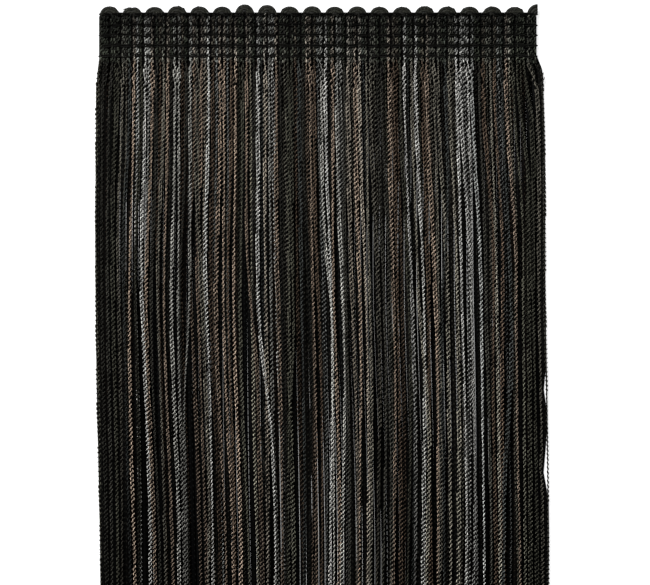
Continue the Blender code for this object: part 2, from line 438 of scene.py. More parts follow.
def sweep_core(tree, paths):
    """An oval tube whose ends close in a point, with its own UV map."""
    place = put(tree, "GeometryNodeSplineParameter").outputs["Factor"]
    paths = store(tree, paths, "row", place)
    paths = first(tree, "GeometryNodeSetCurveNormal", {"Curve": paths}, mode="Z_UP")
    tilt = number(tree, "MULTIPLY", attribute(tree, "roll"), -1.0)
    paths = first(tree, "GeometryNodeSetCurveTilt", {"Curve": paths, "Tilt": tilt})
    ring = first(tree, "GeometryNodeCurveArc",
                 {"Resolution": CORE_SIDES + 1, "Radius": 1.0, "Start Angle": 0.0, "Sweep Angle": math.tau},
                 mode="RADIUS")
    ring = store(tree, ring, "round", put(tree, "GeometryNodeSplineParameter").outputs["Factor"])
    oval = combined(tree, given["Half Width"], given["Half Thickness"], 1.0)
    ring = first(tree, "GeometryNodeTransform", {"Geometry": ring, "Scale": oval})
    ends = first(tree, "GeometryNodeCurveEndpointSelection", {"Start Size": 1, "End Size": 1})
    core_size = number(tree, "MULTIPLY", attribute(tree, "core"), given["Core Size"])
    width = first(tree, "GeometryNodeSwitch",
                  {"Switch": ends, "False": core_size, "True": 0.0}, input_type="FLOAT")
    tube = first(tree, "GeometryNodeCurveToMesh",
                 {"Curve": paths, "Profile Curve": ring, "Scale": width})
    free_share = 1.0 - LEG_SHARE - 2 * CORE_UV_GAP
    strip = number(tree, "MULTIPLY_ADD", attribute(tree, "round"), free_share, LEG_SHARE + CORE_UV_GAP)
    up = number(tree, "MULTIPLY_ADD", attribute(tree, "row"), 1.0 - 2 * UV_MARGIN, UV_MARGIN)
    tube = store_yarn_uv(tree, tube, strip, up)
    tube = first(tree, "GeometryNodeMergeByDistance", {"Geometry": tube, "Distance": MERGE_DISTANCE})
    # Painted light and shade on the core: its tint is lit from above and falls off towards the sides, never
    # below Core Shade, and faces that look down are lightened.
    facing = parted(tree, first(tree, "GeometryNodeInputNormal"))["Z"]
    under = number(tree, "LESS_THAN", facing, UNDERSIDE)
    from_above = number(tree, "POWER", number(tree, "MAXIMUM", facing, LEAST_FACING), LIGHT_FALLOFF)
    lit = number(tree, "MULTIPLY", attribute(tree, "core_light"), from_above)
    lit = number(tree, "MAXIMUM", given["Core Shade"], lit)
    return shade_tint(tree, tube, number(tree, "MULTIPLY_ADD", under, UNDERSIDE_LIGHT, lit))


# %% Put the chainette tree together
yarn_paths, stitch_points, yarn_direction = walk_in_stitches(chainette)
leg_mesh = place_legs(chainette, stitch_points, yarn_direction)
core_mesh = sweep_core(chainette, yarn_paths)
both = put(chainette, "GeometryNodeJoinGeometry")
chainette.links.new(leg_mesh, both.inputs[0])
chainette.links.new(core_mesh, both.inputs[0])
smooth = first(chainette, "GeometryNodeSetShadeSmooth", {"Geometry": both.outputs[0]})
whole = first(chainette, "GeometryNodeRealizeInstances", {"Geometry": smooth})
dyed = first(chainette, "GeometryNodeSetMaterial", {"Geometry": whole, "Material": given["Yarn"]})
put(chainette, "NodeGroupOutput", {0: dyed})
print("the chainette tree has", len(chainette.nodes), "nodes")

# %% [markdown]
# ## From a tree to a plain mesh
# A live modifier would make the exporter and the renderer work it out again. So the tree runs once,
# its result becomes a plain mesh at the origin, and the helper attributes go.

# %% Helpers that run a tree
STATION = {"roll": 0.0, "spiral": 0.0, "size": 1.0, "leg_size": 1.0, "hidden_below": -1.0, "core": 1.0,
           "core_light": 0.0, "stretch": 1.0}
HELPER_ATTRIBUTES = (*STATION, "column", "column_width", "row", "row_height", "leg", "round", "open")


def run_tree(name, paths, tree, values):
    """Makes a piece from a mesh of paths and a tree, as a plain mesh. values are the tree's inputs."""
    source = add_object(name + "_paths", paths)
    modifier = source.modifiers.new("tree", "NODES")
    modifier.node_group = tree
    for item in tree.interface.items_tree:
        if item.in_out == "INPUT" and item.name in values:
            modifier[item.identifier] = values[item.name]
    ready = source.evaluated_get(bpy.context.evaluated_depsgraph_get())
    mesh = bpy.data.meshes.new_from_object(ready)
    mesh.name = name
    for helper in HELPER_ATTRIBUTES:
        if helper in mesh.attributes:
            mesh.attributes.remove(mesh.attributes[helper])
    bpy.data.objects.remove(source)
    mesh.calc_loop_triangles()
    print(name, "has", len(mesh.loop_triangles), "triangles")
    return add_object(name, mesh)


def path_mesh(name, yarns):
    """One mesh of bare paths. A yarn is a list of stations, each with a place, a tint and more."""
    stations = []
    edges = []
    columns = []
    for number_in_piece, yarn in enumerate(yarns):
        start = len(stations)
        stations += yarn
        edges += [(start + step, start + step + 1) for step in range(len(yarn) - 1)]
        columns += [number_in_piece / len(yarns)] * len(yarn)
    mesh = bpy.data.meshes.new(name)
    mesh.from_pydata([station["place"] for station in stations], edges, [])
    for key, usual in STATION.items():
        fill(mesh, key, [station.get(key, usual) for station in stations])
    fill(mesh, "column", columns)
    fill(mesh, "column_width", [1 / len(yarns)] * len(stations))
    colours = [part for station in stations for part in (*station["tint"], 1.0)]
    fill(mesh, "tint", colours, "FLOAT_COLOR")
    return mesh


# %% [markdown]
# ## The dye lots
# The fringe mixes eleven dye lots: three blacks, charcoal, slate, grey, silver and four browns. They
# come in loose groups, because the maker feeds the same cones to bundle after bundle, and each yarn
# is a little lighter or darker than its cone. The yarns at both sides mostly get dark dyes, as painted
# shade against the light that the bright table throws on the sides. The order is a draw with a fixed
# seed, which makes the same kind of fringe and copies none. The colours are linear light, chosen by
# comparing the average tones of a render with those of the photograph.

# %% Choose the yarns
DYES = {
    "black": (0.032, 0.031, 0.026),
    "olive_black": (0.056, 0.055, 0.042),
    "blue_black": (0.052, 0.056, 0.053),
    "charcoal": (0.143, 0.133, 0.108),
    "dark_brown": (0.130, 0.094, 0.068),
    "slate": (0.220, 0.224, 0.214),
    "grey": (0.310, 0.304, 0.278),
    "silver": (0.490, 0.483, 0.456),
    "khaki": (0.300, 0.279, 0.218),
    "taupe": (0.360, 0.316, 0.258),
    "brown": (0.310, 0.238, 0.182),
}
# The chance of each dye: a steady part, and the parts that swell with the browns and the silvers.
DYE_CHANCES = {
    "black": (1.7, 0.0, 0.0), "olive_black": (0.9, 0.0, 0.0), "blue_black": (0.9, 0.0, 0.0),
    "charcoal": (1.6, 0.0, 0.0), "dark_brown": (0.9, 1.7, 0.0), "slate": (0.9, 0.0, 0.0),
    "grey": (1.0, 0.0, 0.0), "silver": (0.5, 0.0, 1.9), "khaki": (0.3, 0.0, 0.0),
    "taupe": (0.3, 0.6, 0.0), "brown": (0.9, 2.7, 0.0)}
EDGE_SHARE = 0.035
SHADED_EDGE_WEIGHTS = {"black": 3.0, "olive_black": 2.0, "charcoal": 0.5}
BROWN_WAVE = (27.9, 0.9)
SILVER_WAVE = (29.9, -2.0)
REPEAT_CHANCE = 0.12
SEED = 32315
rng = random.Random(SEED)


def swell(share, wave):
    """A slow rise and fall across the width, from 0 to 1. wave is its speed and its start."""
    return 0.5 + 0.5 * math.sin(wave[0] * share + wave[1])


def dye_weights(share):
    """How likely each dye is at a share of the width: browns and silvers swell and fade across it."""
    # Painted shade: dark dyes at both sides, against the light that the bright table throws on them.
    if min(share, 1.0 - share) < EDGE_SHARE:
        return SHADED_EDGE_WEIGHTS
    browns = swell(share, BROWN_WAVE)
    silvers = swell(share, SILVER_WAVE)
    return {dye: steady + brown * browns + silver * silvers
            for dye, (steady, brown, silver) in DYE_CHANCES.items()}


yarn_dyes = []
for yarn in range(ALL_YARNS):
    weights = dye_weights(yarn / (ALL_YARNS - 1))
    if yarn_dyes and rng.random() < REPEAT_CHANCE:
        yarn_dyes.append(yarn_dyes[-1])
    else:
        yarn_dyes.append(rng.choices(list(weights), list(weights.values()))[0])
print("yarns of each dye:", {dye: yarn_dyes.count(dye) for dye in DYES})

# %% [markdown]
# ## The material of the yarn
# A chainette is filament or fine spun yarn: a soft sheen, no mirror gloss, and fibres that run with
# the yarn. The colour comes from the attribute that the paths carry. Two noises break it up, one as
# fine as the fibres and one about a centimetre long, and the fibre noise also drives the roughness
# and the bump.

# %% Write the yarn material
DRIFT_SCALE = (420.0, 90.0, 420.0)
DRIFT_SHADES = (0.84, 1.14)
ROUGHNESS_BELOW = 0.1
ROUGHNESS_ABOVE = 0.12
BUMP_STRENGTH = 0.45
BUMP_DEPTH = 0.06 * MM


def noise(tree, scale, detail, roughness):
    """A noise on the object's own coordinates, with a scale for each axis."""
    here = put(tree, "ShaderNodeTexCoord").outputs["Object"]
    place = first(tree, "ShaderNodeMapping", {"Vector": here, "Scale": scale})
    inputs = {"Vector": place, "Scale": 1.0, "Detail": detail, "Roughness": roughness}
    return put(tree, "ShaderNodeTexNoise", inputs).outputs["Fac"]


def spread(tree, value, known, wanted):
    """Stretches a noise from its known span to the wanted one."""
    return first(tree, "ShaderNodeMapRange",
                 {"Value": value, "From Min": known[0], "From Max": known[1],
                  "To Min": wanted[0], "To Max": wanted[1]})


def yarn_material(name, gloss, roughness, fibre_scale, fibre_shades):
    """A fibre finish that reads the yarn's own tint."""
    material = bpy.data.materials.new(name)
    material.use_nodes = True
    tree = material.node_tree
    shader = tree.nodes["Principled BSDF"].inputs
    fibres = noise(tree, fibre_scale, detail=3.0, roughness=0.6)
    drift = noise(tree, DRIFT_SCALE, detail=2.0, roughness=0.5)
    fine = spread(tree, fibres, known=(0.25, 0.75), wanted=fibre_shades)
    slow = spread(tree, drift, known=(0.3, 0.7), wanted=DRIFT_SHADES)
    tint = put(tree, "ShaderNodeAttribute", attribute_name="tint").outputs["Color"]
    colour = scaled(tree, tint, number(tree, "MULTIPLY", fine, slow))
    rough = spread(tree, fibres, known=(0.2, 0.8),
                   wanted=(roughness - ROUGHNESS_BELOW, roughness + ROUGHNESS_ABOVE))
    bump = first(tree, "ShaderNodeBump",
                 {"Height": fibres, "Strength": BUMP_STRENGTH, "Distance": BUMP_DEPTH})
    tree.links.new(colour, shader["Base Color"])
    tree.links.new(rough, shader["Roughness"])
    tree.links.new(bump, shader["Normal"])
    shader["Specular IOR Level"].default_value = gloss
    print(name, "has", len(tree.nodes), "nodes")
    return material


skirt_yarn = yarn_material("skirt_yarn", gloss=0.03, roughness=0.5,
                           fibre_scale=(4500.0, 1800.0, 4500.0), fibre_shades=(0.46, 1.5))
heading_yarn = yarn_material("heading_yarn", gloss=0.06, roughness=0.5,
                             fibre_scale=(3500.0, 2800.0, 3500.0), fibre_shades=(0.45, 1.5))
black_thread = yarn_material("black_thread", gloss=0.02, roughness=0.6,
                             fibre_scale=(4500.0, 1500.0, 4500.0), fibre_shades=(0.7, 1.3))

# %% [markdown]
# ## The room that the skirt takes
# The skirt is a little wider than the heading, and more so on the right. Its sides are given at
# ten depths, in millimetres: nine come from the photograph, and the last lies below its edge and is
# a guess. Between them every yarn has its share of the width, and neighbours sway together. The last
# yarn on the right hangs loose in two places, where the others draw back from it. Sine waves are
# quicker to work out than a rope simulation, and they let every yarn hang in its own way.

# %% Shape the skirt
SKIRT_SIDES = (
    (0, -54.8, 55.2), (3, -55.2, 56.4), (12, -55.6, 56.7), (24, -55.65, 57.0), (40, -55.8, 57.0),
    (60, -55.7, 57.0), (80, -55.4, 57.5), (100, -54.95, 57.8), (120, -54.6, 58.0), (140, -54.4, 57.8))
EDGE_INSET = 0.36 * MM
SWAY = 0.55 * MM
SWAY_WAVES = ((5.3, 4.1, 1.0, 1.0), (11.0, -7.3, 2.1, 0.45))
SWAY_PARTS = sum(part for across, along, turn, part in SWAY_WAVES)
SWAY_START = 3.0
SWAY_CALM = 8.0
SLITS = ((82 * MM, 12.5 * MM, 1.4 * MM), (102 * MM, 13.0 * MM, 1.8 * MM))


def smooth_step(share):
    """0 below 0, 1 above 1, and a soft step between."""
    share = min(max(share, 0.0), 1.0)
    return share * share * (3.0 - 2.0 * share)


def skirt_side(depth, column):
    """The skirt's left (1) or right (2) side at a depth below the heading, from its middle."""
    for above, below in zip(SKIRT_SIDES, SKIRT_SIDES[1:]):
        if depth / MM <= below[0]:
            break
    share = (depth / MM - above[0]) / (below[0] - above[0])
    return (above[column] + (below[column] - above[column]) * share) * MM


def sway(share, depth, phase):
    """The slow sway that neighbours share. A wave has speeds across and down, a turn and a part."""
    down = depth / SKIRT_LENGTH
    waves = sum(part * math.sin(across * share + along * down + turn * phase)
                for across, along, turn, part in SWAY_WAVES)
    return SWAY * smooth_step(SWAY_START * down) * waves / SWAY_PARTS


def slit_room(depth):
    """How far the other yarns draw back from the last one on the right, which hangs loose."""
    room = 0.0
    for middle, reach, width in SLITS:
        away = min(abs(depth - middle) / reach, 1.0)
        room += width * (0.5 + 0.5 * math.cos(math.pi * away))
    return room


def yarn_middle(share, depth, phase):
    """A yarn's middle at a depth. share is its place across the skirt, from 0 to 1."""
    left = skirt_side(depth, 1) + EDGE_INSET
    right = skirt_side(depth, 2) - EDGE_INSET
    calm_at_sides = smooth_step(SWAY_CALM * min(share, 1.0 - share))
    middle = left + (right - left) * share + calm_at_sides * sway(share, depth, phase)
    return min(middle, right - slit_room(depth)) if share < 1.0 else middle


print("slits at the right side:", len(SLITS), "room in mm:", round(slit_room(SLITS[1][0]) / MM, 1))

# %% [markdown]
# ## How a yarn hangs
# Of each bundle two yarns lie in front and the middle one behind. They leave the heading straight
# down and take up their share of the width slowly. Each adds a wander of its own, so that some lean
# on a neighbour and some leave a gap, and a few cross over. The outermost ones have nothing to lie
# on and slump to the table. Every yarn is painted lighter or darker towards its foot by an amount of
# its own: painted shade, which sinks most yarns into the dark of the deepening gaps, and painted
# light, which lifts the few light ones against the softbox's fall-off. Its stitches thin there.

# %% What differs from yarn to yarn
BROWN_DYES = ("dark_brown", "khaki", "taupe", "brown")
END_UNEVEN = 0.9
WANDER_WAVES = ((2.0, 4.0, 0.65), (6.0, 10.0, 0.35))
LIFT_SPEEDS = (3.0, 7.0)
HALF_TURNS = (0.4, 1.6)
SIZES = (0.76, 1.2)
STRETCHES = (0.94, 1.07)
YARN_SHADES = (0.8, 1.2)
MOSTLY_DARK = 1.8
LIGHTEST_TINT = 0.8
CROSSING_STARTS = (0.1, 0.6)
FRONT_LAYER = {"level": 2.1 * MM, "level_spread": 0.2 * MM, "lift": 0.16 * MM, "wander": 0.58 * MM,
               "aside": 0.42 * MM, "shades": (0.9, 0.26, 4.2), "brown_shades": (0.78, 0.7, 2.4),
               "crossing_chance": 0.12, "crossing_drift": 2.2 * MM}
BACK_LAYER = {"level": 1.0 * MM, "level_spread": 0.1 * MM, "lift": 0.1 * MM, "wander": 0.6 * MM,
              "aside": 0.5 * MM, "shades": (0.88, 0.2, 2.2), "brown_shades": (0.76, 0.5, 1.9),
              "crossing_chance": 0.0, "crossing_drift": 0.0}


def draw_habits(dye, layer):
    """Draws all that makes a yarn differ from its neighbours, always in the same order."""
    habits = {
        "length": SKIRT_LENGTH - STRIP_GAP - rng.uniform(0.0, END_UNEVEN) * MM,
        "waves": [(rng.uniform(slowest, fastest), rng.uniform(0.0, math.tau), part)
                  for slowest, fastest, part in WANDER_WAVES],
        "lift_wave": (rng.uniform(*LIFT_SPEEDS), rng.uniform(0.0, math.tau)),
        "aside": rng.uniform(-1.0, 1.0) * layer["aside"],
        "level": layer["level"] + rng.uniform(-1.0, 1.0) * layer["level_spread"],
        "roll_start": rng.uniform(0.0, math.tau),
        "roll_turns": rng.choice((-1, 1)) * rng.uniform(*HALF_TURNS),
        "spiral_start": rng.uniform(0.0, math.tau),
        "size": rng.uniform(*SIZES),
        "stretch": rng.uniform(*STRETCHES),
        "shade": rng.uniform(*YARN_SHADES),
    }
    # Painted light and shade: most yarns darken towards the foot, and a few are brightened past their dye,
    # at most to LIGHTEST_TINT.
    top_shade, darkest, lightest = layer["brown_shades" if dye in BROWN_DYES else "shades"]
    foot_shade = darkest + (lightest - darkest) * rng.random() ** MOSTLY_DARK
    foot_shade = min(foot_shade, LIGHTEST_TINT / (DYES[dye][0] * habits["shade"]))
    habits["top_and_foot"] = (top_shade, foot_shade)
    habits["start"] = -rng.uniform(0.0, 1.0) * STITCH_PITCH
    crosses = rng.random() < layer["crossing_chance"]
    habits["drift"] = layer["crossing_drift"] * rng.choice((-1, 1)) if crosses else 0.0
    habits["drift_start"] = rng.uniform(*CROSSING_STARTS)
    return habits


# %% The path of one yarn
PATH_STATIONS = 38
NEAR_END = 0.25 * MM
ROOT_DEPTHS = [0.8 * MM, 1.6 * MM]
BUNDLE_GRIP = 0.84
SWAY_PHASE = 2.6
SIDE_CALM = 12.0
SIDE_LEVEL = 0.6 * MM
SLUMP_RATE = 30.0
ROOT_SINK = 9.0 * MM
ROOT_SPREAD = 3.6 * MM
ROOT_SETTLE = 65.0 * MM
ROOT_LEVEL = 1.75 * MM
ROOT_TUCK = 0.7 * MM
ROOT_RISE = 2.2 * MM
ROOT_DIP = 0.75 * MM
ROOT_SHADE = 0.4
CROSSING_LIFT = 0.35 * MM
CROSSING_SHARE = 0.3
FOOT_THINNING = 0.4
TURNS_PER_MM = 1.0 / 70


def root_of(yarn):
    """Where a yarn leaves the heading: beside the other two of its bundle."""
    middle = (yarn // YARNS_PER_BUNDLE + 0.5) * BUNDLE_PITCH
    return middle + (yarn % YARNS_PER_BUNDLE - 1) * BUNDLE_GRIP * YARN_PITCH


def depths_down(roots, length, steps):
    """Depths from a yarn's root to its cut end, with two close together at both ends."""
    between = [length * step / steps for step in range(1, steps)]
    return [roots[0], roots[0] + NEAR_END, *roots[1:], *between, length - NEAR_END, length]


def hanging_yarn(yarn, share, layer):
    """The stations of one yarn, from its root to its cut end. layer says how it lies."""
    dye = yarn_dyes[yarn]
    habits = draw_habits(dye, layer)
    length = habits["length"]
    from_side = min(share, 1.0 - share)
    inside = smooth_step(SIDE_CALM * from_side)
    level = SIDE_LEVEL + (habits["level"] - SIDE_LEVEL) * smooth_step(SLUMP_RATE * from_side)
    home = heading_left + (yarn + 0.5) * YARN_PITCH
    grip = heading_left + root_of(yarn) - home
    settling = ROOT_SPREAD + (ROOT_SETTLE - ROOT_SPREAD) * inside
    top_shade, foot_shade = habits["top_and_foot"]
    stations = []
    for depth in depths_down((habits["start"], *ROOT_DEPTHS), length, PATH_STATIONS):
        down = max(depth, 0.0) / length
        wander = sum(part * math.sin(speed * down + turn) for speed, turn, part in habits["waves"])
        crossed = smooth_step((down - habits["drift_start"]) / CROSSING_SHARE)
        sunk = smooth_step(depth / ROOT_SINK)
        freed = smooth_step(depth / ROOT_SPREAD)
        aside = habits["aside"] + wander * layer["wander"]
        x = heading_middle + yarn_middle(share, depth, SWAY_PHASE)
        x += aside * inside * smooth_step(SWAY_START * down) + habits["drift"] * inside * crossed
        x = home + grip * (1.0 - freed) + (x - home) * smooth_step(depth / settling)
        lift = math.sin(habits["lift_wave"][0] * down + habits["lift_wave"][1]) * layer["lift"]
        lift += CROSSING_LIFT * crossed if habits["drift"] else 0.0
        risen = smooth_step((depth + ROOT_TUCK) / ROOT_RISE)
        z = ROOT_LEVEL + (level + lift - ROOT_LEVEL) * sunk - ROOT_DIP * (1.0 - risen)
        turned = habits["roll_start"] - math.pi / 2 + habits["roll_turns"] * math.pi * down
        # Painted light and shade from the top shade to the foot shade, and painted shadow near the root,
        # where the yarn comes out from under the heading.
        fade = top_shade + (foot_shade - top_shade) * down
        fade *= ROOT_SHADE + (1.0 - ROOT_SHADE) * risen
        stations.append({
            "place": (x, heading_foot - STRIP_GAP - depth, z),
            "roll": math.pi / 2 + turned * sunk,
            "spiral": habits["spiral_start"] + math.tau * TURNS_PER_MM * depth / MM,
            "size": habits["size"], "core": habits["size"], "stretch": habits["stretch"],
            "leg_size": 1.0 - FOOT_THINNING * down,
            "tint": [part * habits["shade"] * fade for part in DYES[dye]]})
    return stations


# %% Lay out both layers
front_order = [yarn for yarn in range(ALL_YARNS) if yarn % YARNS_PER_BUNDLE != 1]
back_order = [yarn for yarn in range(ALL_YARNS) if yarn % YARNS_PER_BUNDLE == 1]
front_yarns = [hanging_yarn(yarn, place / (len(front_order) - 1), FRONT_LAYER)
               for place, yarn in enumerate(front_order)]
back_yarns = [hanging_yarn(yarn, (place + 0.5) / len(back_order), BACK_LAYER)
              for place, yarn in enumerate(back_order)]
print("hanging yarns:", len(front_yarns), "in front and", len(back_yarns), "behind")

# %% [markdown]
# ## The lowest yarns
# A row of dark yarns pressed flat on the table closes the gaps between the others. Their dyes are
# darkened much further as painted shade, the shade deep in the gaps, and most of all at the foot.
# They lie evenly over the whole width and tuck under the heading. A black board under the skirt
# would close the gaps too, but in a gap one sees stitches.

# %% Lay out the lowest yarns
UNDER_YARNS = 74
UNDER_FIRST = 0.35
UNDER_STATIONS = 20
UNDER_ROOTS = [1.0 * MM, 2.5 * MM, 4.0 * MM]
UNDER_PHASE = 0.4
UNDER_LEVEL = 0.4 * MM
UNDER_TUCK = 1.2 * MM
UNDER_STRETCH = 1.35
UNDER_DYES = ("black", "olive_black", "blue_black", "charcoal", "dark_brown")
UNDER_PAINTED_SHADES = (0.12, 0.45)
UNDER_FOOT_PAINTED_SHADE = 0.85
UNDER_END_GAPS = (0.6, 1.4)


def under_yarn(index):
    """A dark yarn pressed flat on the table, which shows only in the gaps between the others."""
    length = SKIRT_LENGTH - STRIP_GAP - rng.uniform(*UNDER_END_GAPS) * MM
    dye = rng.choice(UNDER_DYES)
    # Painted shade: the dark dye is darkened further, and more towards the foot.
    shade = rng.uniform(*UNDER_PAINTED_SHADES)
    spiral = rng.uniform(0.0, math.tau)
    share = (index + UNDER_FIRST) / (UNDER_YARNS - 1 + 2 * UNDER_FIRST)
    stations = []
    for depth in depths_down((-UNDER_TUCK, *UNDER_ROOTS), length, UNDER_STATIONS):
        x = heading_middle + yarn_middle(share, depth, UNDER_PHASE)
        fade = 1.0 - UNDER_FOOT_PAINTED_SHADE * max(depth, 0.0) / length
        stations.append({"place": (x, heading_foot - STRIP_GAP - depth, UNDER_LEVEL),
                         "tint": [part * shade * fade for part in DYES[dye]],
                         "stretch": UNDER_STRETCH, "spiral": spiral})
    return stations


under_yarns = [under_yarn(index) for index in range(UNDER_YARNS)]
print("lowest yarns:", len(under_yarns))

# %% Knit the skirt
FRONT_YARN = {"Stitch Pitch": STITCH_PITCH, "Half Width": 0.43 * MM, "Half Thickness": 0.2 * MM,
              "Leg Width": 0.24 * MM, "Leg Depth": 0.34 * MM, "Rail Length": 1.4 * MM,
              "Cross Length": 1.24 * MM, "Hidden Below": 0.15, "Shade Spread": 0.5, "Core Shade": 0.008,
              "Core Size": 0.74, "Seed": 5, "Leg": full_leg, "Yarn": skirt_yarn}
BACK_YARN = {**FRONT_YARN, "Half Width": 0.5 * MM, "Leg Width": 0.34 * MM, "Leg": plain_leg}
UNDER_YARN = {**FRONT_YARN, "Half Width": 0.72 * MM, "Half Thickness": 0.24 * MM, "Leg Width": 0.4 * MM,
              "Rail Length": 1.7 * MM, "Cross Length": 1.5 * MM, "Hidden Below": 0.5,
              "Core Size": 1.05, "Core Shade": 0.05, "Leg": plain_leg}


def knit_layer(name, yarns, parts, recipe):
    """Knits a layer in a few pieces side by side, because one piece would be too heavy."""
    pieces = []
    for part in range(parts):
        own = yarns[part * len(yarns) // parts:(part + 1) * len(yarns) // parts]
        piece_name = f"{name}_{part + 1}"
        pieces.append(run_tree(piece_name, path_mesh(piece_name, own), chainette, recipe))
    return pieces


front_pieces = knit_layer("skirt_front", front_yarns, parts=4, recipe=FRONT_YARN)
back_pieces = knit_layer("skirt_back", back_yarns, parts=1, recipe=BACK_YARN)
back_pieces += knit_layer("skirt_under", under_yarns, parts=1, recipe=UNDER_YARN)

# %% [markdown]
# ## The heading's weft
# Above the skirt the same yarns run up through the heading, three to a bundle. Between two rows of
# stitches they stand proud like small pads, and under each row they are pinched together and pressed
# down, and their tint is darkened there as painted shade. The dyes show blended and dusty here, and
# darker towards the top, because black thread runs in and out between the yarns.

# %% Pads and pinches
ROW_PITCH = 2.58 * MM
FIRST_ROW = heading_foot + HEADING_BODY
STITCH_ROWS = 5
PAD_LEVEL = 1.72 * MM
PINCH_DROP = 0.7 * MM
PINCH_SHADE = 0.7
PINCH_THINNING = 0.35
PINCH_NARROWING = 0.13
PAD_SHADES = (0.45, 1.45)
HEADING_DUST = (0.026, 0.034, 0.020)
HEADING_BLEND = 0.4
HEADING_SHADES = (0.3, 0.36, 0.48, 0.65, 0.77, 0.9)


def pinch(y):
    """1 under a row of stitches and 0 in the middle of a pad."""
    rows_down = (FIRST_ROW - y) / ROW_PITCH
    return math.cos(math.pi * rows_down) ** 2 if y < FIRST_ROW + ROW_PITCH / 2 else 0.0


def heading_shade(y):
    """The heading is darker towards its top edge, where the turns are tight and the black covers."""
    rows_down = max((FIRST_ROW - y) / ROW_PITCH, 0.0)
    above = min(int(rows_down), len(HEADING_SHADES) - 2)
    share = min(rows_down - above, 1.0)
    return HEADING_SHADES[above] + (HEADING_SHADES[above + 1] - HEADING_SHADES[above]) * share


def dusty(dye):
    """A dye as it shows in the heading: nearer to its own grey, under a little dust."""
    plain = sum(DYES[dye]) / 3
    return [part + (plain - part) * HEADING_BLEND + dust for part, dust in zip(DYES[dye], HEADING_DUST)]


def choose_pad_shades():
    """How light one yarn shows in each pad: the stitches of some pads turn it out of sight."""
    return [rng.uniform(*PAD_SHADES) for row in range(STITCH_ROWS)]


print("shade at the first row and the foot:",
      heading_shade(FIRST_ROW), round(heading_shade(heading_foot), 2))

# %% [markdown]
# ## The loops
# At the top edge a bundle turns over into the next one, which makes the row of round loops. Each
# yarn is one U-shaped path through two bundles, so the loop is the real turn of the yarn and no bead
# set on top. A turn is pulled tight, so there the knit closes to a smooth cord, and the three cords
# of a bundle nest in each other.

# %% A station of the weft
# Painted light and shade on the loops: the middle cord of a nest is tinted lightest, the outer one a little
# darker towards the rim, and the inner one darkest, down in the valley. The loop's core is lit at half
# strength, so the legs along the crest show as small painted highlights.
LOOP_PAINTED_TINTS = ((0.0190, 0.0196, 0.0150), (0.0220, 0.0226, 0.0170), (0.0090, 0.0090, 0.0070))
LOOP_STATION = {"roll": 0.0, "size": 0.95, "leg_size": 0.75, "hidden_below": 0.8, "core": 1.18,
                "core_light": 0.5}
LOOP_ENTRY = 0.9 * MM
LOOP_LEVEL = 1.6 * MM


def heading_station(x, y, nest, dye, spiral, pad_shades):
    """One station of a yarn inside the heading. It swells to a smooth cord as it enters a loop."""
    level = PAD_LEVEL - PINCH_DROP * pinch(y)
    pad = min(max(int((FIRST_ROW - y) / ROW_PITCH), 0), STITCH_ROWS - 1)
    # Painted shade: the tint is darkened under each row, where the yarns are pinched.
    shade = heading_shade(y) * pad_shades[pad] * (1.0 - PINCH_SHADE * pinch(y))
    in_loop = smooth_step((y - (FIRST_ROW - LOOP_ENTRY)) / LOOP_ENTRY)
    station = {"place": (x, y, level + (LOOP_LEVEL - level) * in_loop), "spiral": spiral}
    station["tint"] = [part * shade * (1.0 - in_loop) + loop_part * in_loop
                       for part, loop_part in zip(dusty(dye), LOOP_PAINTED_TINTS[nest])]
    for key, value in LOOP_STATION.items():
        usual = math.pi / 2 if key == "roll" else STATION[key]
        station[key] = usual + (value - usual) * in_loop
    station["leg_size"] *= 1.0 - PINCH_THINNING * pinch(y) * (1.0 - in_loop)
    return station


# %% Runs and turns of the weft
RUN_END = 0.3 * MM
RUN_END_RISE = 0.4 * MM
RUN_STEPS = 24
LOOP_HALF_WIDTHS = (1.95 * MM, 1.28 * MM, 0.6 * MM)
LOOP_RISES = (1.2 * MM, 0.55 * MM, -0.1 * MM)
LOOP_SQUARENESS = 0.97
LOOP_STEPS = 16
LOOSE_LOOPS = (6, 7)
LOOSE_RISE = 0.5 * MM
RISE_WAVES = ((0.07 * MM, 2.3, 0.7), (0.05 * MM, 5.1, 0.0))
DENTED_LOOP = 1
DENT_DEPTH = 0.28 * MM
DENT_WIDTH = 0.5 * MM


def straight_run(x, middle, upward):
    """Places up or down one bundle, drawn towards its middle under each row."""
    foot = heading_foot - STRIP_GAP
    top = FIRST_ROW - RUN_END
    places = []
    for step in range(RUN_STEPS + 1):
        y = foot + (top - foot) * step / RUN_STEPS
        narrowing = 1.0 - PINCH_NARROWING * pinch(y)
        places.append((middle + (x - middle) * BUNDLE_GRIP * narrowing, y))
    return places if upward else places[::-1]


def extra_rise(loop):
    """How much higher than usual a loop stands: every turn differs a little, and two are loose."""
    uneven = sum(height * math.sin(speed * loop + start) for height, speed, start in RISE_WAVES)
    return uneven + (LOOSE_RISE if loop in LOOSE_LOOPS else 0.0)


def loop_turn(loop, nest):
    """Places over the top of a loop, for the outer (0), middle (1) or inner (2) yarn of the nest."""
    middle = heading_left + (2 * loop + 1) * BUNDLE_PITCH
    rise = LOOP_RISES[nest] + extra_rise(loop) + RUN_END_RISE
    dented = loop == DENTED_LOOP and nest < 2
    places = []
    for step in range(1, LOOP_STEPS):
        angle = math.pi * step / LOOP_STEPS
        across = abs(math.cos(angle)) ** LOOP_SQUARENESS * LOOP_HALF_WIDTHS[nest]
        across = -math.copysign(across, math.cos(angle))
        up = rise * math.sin(angle) ** LOOP_SQUARENESS
        dent = DENT_DEPTH * math.exp(-(across / DENT_WIDTH) ** 2) if dented else 0.0
        places.append((middle + across, FIRST_ROW + up - dent))
    return places


print("the outer turns rise, in mm:", [round(extra_rise(loop) / MM, 2) for loop in range(5, 9)], "extra")

# %% Lay out the weft, loop by loop
SPIRAL_STEP = 0.06


